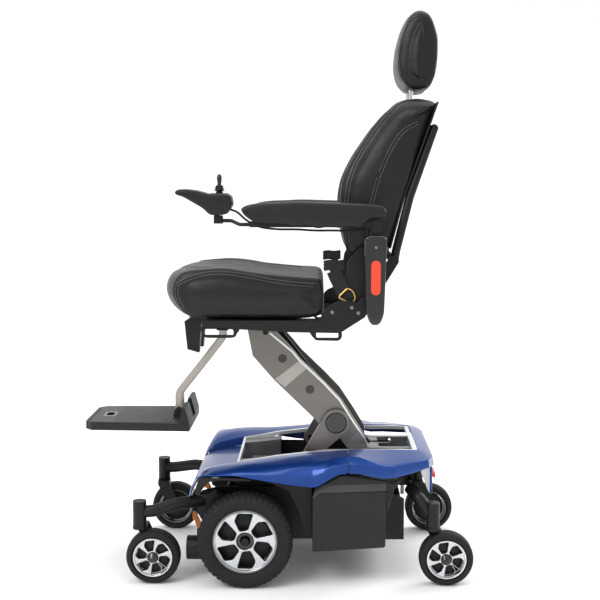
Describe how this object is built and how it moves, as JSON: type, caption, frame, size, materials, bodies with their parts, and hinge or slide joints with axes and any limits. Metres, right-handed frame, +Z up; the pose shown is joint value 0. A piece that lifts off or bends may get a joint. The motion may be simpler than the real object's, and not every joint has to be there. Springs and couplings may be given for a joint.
{
  "type": "power wheelchair",
  "caption": "Electric wheelchair with a six-wheel mid-drive base, folding-arm seat lift, captain seat, headrest, flip-up armrests and joystick.",
  "frame": {"origin": "floor point under the middle of the overall box", "axes": "+X to the rear, +Y to the occupant's right, +Z up"},
  "size_m": [1.1192, 0.61, 1.616],
  "materials": {
    "tyre_rubber": "matte block tread",
    "alloy_silver": "machined satin",
    "frame_black": "powder coat, satin",
    "lift_titanium": "metallic satin",
    "shroud_blue": "metallic clear coat",
    "rim_silver": "metallic satin",
    "cover_charcoal": "fine grain",
    "gloss_black": "glossy",
    "rail_grey": "satin",
    "leather_black": "grained, satin",
    "pad_urethane": "moulded, satin",
    "footrest_steel": "satin",
    "lens_red": "glossy",
    "brass": "polished",
    "webbing": "woven",
    "cable_rubber": "matte",
    "lever_orange": "matte",
    "battery_grey": "matte",
    "controller_plastic": "fine grain"
  },
  "bodies": {
    "base": {"chassis_frame": "frame_black", "battery_pack": "battery_grey", "control_module": "rail_grey", "lift_motor": "frame_black", "slide_rails": "rail_grey", "rear_caster_arms": "frame_black", "front_shroud": "shroud_blue", "rear_shroud": "shroud_blue", "shroud_rim": "rim_silver", "side_covers": "cover_charcoal", "front_fenders": "cover_charcoal", "tail_lights": "lens_red"},
    "lift_link": {"lift_link": "lift_titanium"},
    "lift_arm": {"lift_arm": "lift_titanium", "arm_caps": "gloss_black"},
    "slide_carriage": {"slide_carriage": "rail_grey"},
    "leveling_rod": {"leveling_rod": "frame_black"},
    "seat": {"seat_frame": "frame_black", "seat_cushion": "leather_black", "footrest_bar": "footrest_steel", "armrest_sockets": "gloss_black", "side_reflectors": "lens_red", "belt_rings": "brass", "lap_belt": "webbing"},
    "footplate": {"footplate": "cover_charcoal"},
    "backrest": {"backrest_frame": "frame_black", "backrest_cushion": "leather_black"},
    "headrest": {"headrest_posts": "alloy_silver", "headrest_cushion": "leather_black"},
    "joystick_gimbal": {"joystick_gimbal": "alloy_silver"},
    "joystick_stick": {"joystick_stick": "cable_rubber"},
    "power_button": {"power_button": "controller_plastic"},
    "horn_button": {"horn_button": "controller_plastic"},
    "drive_beam_l": {"drive_beam_l": "frame_black", "drive_motor_l": "frame_black"},
    "drive_wheel_l": {"drive_tyre_l": "tyre_rubber", "drive_rim_l": "alloy_silver"},
    "freewheel_lever_l": {"freewheel_lever_l": "lever_orange"},
    "front_caster_l": {"caster_fork_fl": "frame_black"},
    "front_caster_wheel_l": {"caster_wheel_fl": "tyre_rubber"},
    "rear_caster_l": {"caster_fork_rl": "frame_black"},
    "rear_caster_wheel_l": {"caster_wheel_rl": "tyre_rubber"},
    "armrest_post_l": {"armrest_post_l": "frame_black"},
    "armrest_l": {"armrest_rail_l": "frame_black", "armrest_pad_l": "pad_urethane", "controller_housing": "controller_plastic", "controller_bracket": "frame_black", "controller_cable": "cable_rubber"},
    "drive_beam_r": {"drive_beam_r": "frame_black", "drive_motor_r": "frame_black"},
    "drive_wheel_r": {"drive_tyre_r": "tyre_rubber", "drive_rim_r": "alloy_silver"},
    "freewheel_lever_r": {"freewheel_lever_r": "lever_orange"},
    "front_caster_r": {"caster_fork_fr": "frame_black"},
    "front_caster_wheel_r": {"caster_wheel_fr": "tyre_rubber"},
    "rear_caster_r": {"caster_fork_rr": "frame_black"},
    "rear_caster_wheel_r": {"caster_wheel_rr": "tyre_rubber"},
    "armrest_post_r": {"armrest_post_r": "frame_black"},
    "armrest_r": {"armrest_rail_r": "frame_black", "armrest_pad_r": "pad_urethane"}
  },
  "joints": [
    {"name": "seat_lift", "type": "hinge", "parent": "base", "child": "lift_link", "pos_m": [0.098, 0, 0.338], "axis": [0, 1, 0], "range_deg": [0, 44.5]},
    {"name": "arm_fold", "type": "hinge", "parent": "lift_link", "child": "lift_arm", "pos_m": [0.17433, 0, 0.43059], "axis": [0, 1, 0], "range_deg": [-89, 0]},
    {"name": "carriage_slide_pivot", "type": "hinge", "parent": "lift_arm", "child": "slide_carriage", "pos_m": [0.25066, 0, 0.338], "axis": [0, 1, 0], "range_deg": [0, 44.5]},
    {"name": "rod_swing", "type": "hinge", "parent": "slide_carriage", "child": "leveling_rod", "pos_m": [0.28136, 0, 0.338], "axis": [0, 1, 0], "range_deg": [-44.5, 0]},
    {"name": "seat_levelling", "type": "hinge", "parent": "lift_arm", "child": "seat", "pos_m": [-0.03134, 0, 0.695], "axis": [0, 1, 0], "range_deg": [0, 44.5]},
    {"name": "footplate_flip", "type": "hinge", "parent": "seat", "child": "footplate", "pos_m": [-0.295, 0, 0.446], "axis": [0, 1, 0], "range_deg": [0, 75]},
    {"name": "backrest_recline", "type": "hinge", "parent": "seat", "child": "backrest", "pos_m": [0.25, 0, 0.79], "axis": [0, 1, 0], "range_deg": [-20, 25]},
    {"name": "headrest_height", "type": "slide", "parent": "backrest", "child": "headrest", "axis": [0, 0, 1], "range_m": [0, 0.08]},
    {"name": "suspension_left", "type": "hinge", "parent": "base", "child": "drive_beam_l", "pos_m": [-0.19, -0.18, 0.205], "axis": [0, 1, 0], "range_deg": [-8, 8]},
    {"name": "drive_spin_left", "type": "hinge", "parent": "drive_beam_l", "child": "drive_wheel_l", "pos_m": [-0.08, -0.2675, 0.13335], "axis": [0, 1, 0], "continuous": true},
    {"name": "freewheel_left", "type": "hinge", "parent": "drive_beam_l", "child": "freewheel_lever_l", "pos_m": [-0.215, -0.168, 0.126], "axis": [0, 1, 0], "range_deg": [-35, 0]},
    {"name": "front_swivel_left", "type": "hinge", "parent": "drive_beam_l", "child": "front_caster_l", "pos_m": [-0.38, -0.246, 0.2], "axis": [0, 0, 1], "continuous": true},
    {"name": "front_roll_left", "type": "hinge", "parent": "front_caster_l", "child": "front_caster_wheel_l", "pos_m": [-0.342, -0.246, 0.0762], "axis": [0, 1, 0], "continuous": true},
    {"name": "rear_swivel_left", "type": "hinge", "parent": "base", "child": "rear_caster_l", "pos_m": [0.445, -0.246, 0.2], "axis": [0, 0, 1], "continuous": true},
    {"name": "rear_roll_left", "type": "hinge", "parent": "rear_caster_l", "child": "rear_caster_wheel_l", "pos_m": [0.483, -0.246, 0.0762], "axis": [0, 1, 0], "continuous": true},
    {"name": "armrest_height_left", "type": "slide", "parent": "seat", "child": "armrest_post_l", "axis": [0, 0, 1], "range_m": [0, 0.06]},
    {"name": "armrest_flip_left", "type": "hinge", "parent": "armrest_post_l", "child": "armrest_l", "pos_m": [0.287, -0.27, 1.012], "axis": [0, 1, 0], "range_deg": [0, 88]},
    {"name": "suspension_right", "type": "hinge", "parent": "base", "child": "drive_beam_r", "pos_m": [-0.19, 0.18, 0.205], "axis": [0, 1, 0], "range_deg": [-8, 8]},
    {"name": "drive_spin_right", "type": "hinge", "parent": "drive_beam_r", "child": "drive_wheel_r", "pos_m": [-0.08, 0.2675, 0.13335], "axis": [0, 1, 0], "continuous": true},
    {"name": "freewheel_right", "type": "hinge", "parent": "drive_beam_r", "child": "freewheel_lever_r", "pos_m": [-0.215, 0.168, 0.126], "axis": [0, 1, 0], "range_deg": [-35, 0]},
    {"name": "front_swivel_right", "type": "hinge", "parent": "drive_beam_r", "child": "front_caster_r", "pos_m": [-0.38, 0.246, 0.2], "axis": [0, 0, 1], "continuous": true},
    {"name": "front_roll_right", "type": "hinge", "parent": "front_caster_r", "child": "front_caster_wheel_r", "pos_m": [-0.342, 0.246, 0.0762], "axis": [0, 1, 0], "continuous": true},
    {"name": "rear_swivel_right", "type": "hinge", "parent": "base", "child": "rear_caster_r", "pos_m": [0.445, 0.246, 0.2], "axis": [0, 0, 1], "continuous": true},
    {"name": "rear_roll_right", "type": "hinge", "parent": "rear_caster_r", "child": "rear_caster_wheel_r", "pos_m": [0.483, 0.246, 0.0762], "axis": [0, 1, 0], "continuous": true},
    {"name": "armrest_height_right", "type": "slide", "parent": "seat", "child": "armrest_post_r", "axis": [0, 0, 1], "range_m": [0, 0.06]},
    {"name": "armrest_flip_right", "type": "hinge", "parent": "armrest_post_r", "child": "armrest_r", "pos_m": [0.287, 0.27, 1.012], "axis": [0, 1, 0], "range_deg": [0, 88]},
    {"name": "joystick_sideways", "type": "hinge", "parent": "armrest_l", "child": "joystick_gimbal", "pos_m": [-0.149, -0.25, 1.08], "axis": [1, 0, 0], "range_deg": [-15, 15], "stiffness_Nm_per_rad": 0.4},
    {"name": "joystick_forward", "type": "hinge", "parent": "joystick_gimbal", "child": "joystick_stick", "pos_m": [-0.149, -0.25, 1.08], "axis": [0, 1, 0], "range_deg": [-15, 15], "stiffness_Nm_per_rad": 0.4},
    {"name": "power_press", "type": "slide", "parent": "armrest_l", "child": "power_button", "axis": [0, 0, 1], "range_m": [-0.0012, 0], "stiffness_N_per_m": 800},
    {"name": "horn_press", "type": "slide", "parent": "armrest_l", "child": "horn_button", "axis": [0, 0, 1], "range_m": [-0.0012, 0], "stiffness_N_per_m": 800}
  ],
  "couplings": [
    {"joint": "arm_fold", "follows": "seat_lift", "ratio": -2},
    {"joint": "carriage_slide_pivot", "follows": "seat_lift", "ratio": 1},
    {"joint": "rod_swing", "follows": "seat_lift", "ratio": -1},
    {"joint": "seat_levelling", "follows": "seat_lift", "ratio": 1}
  ]
}
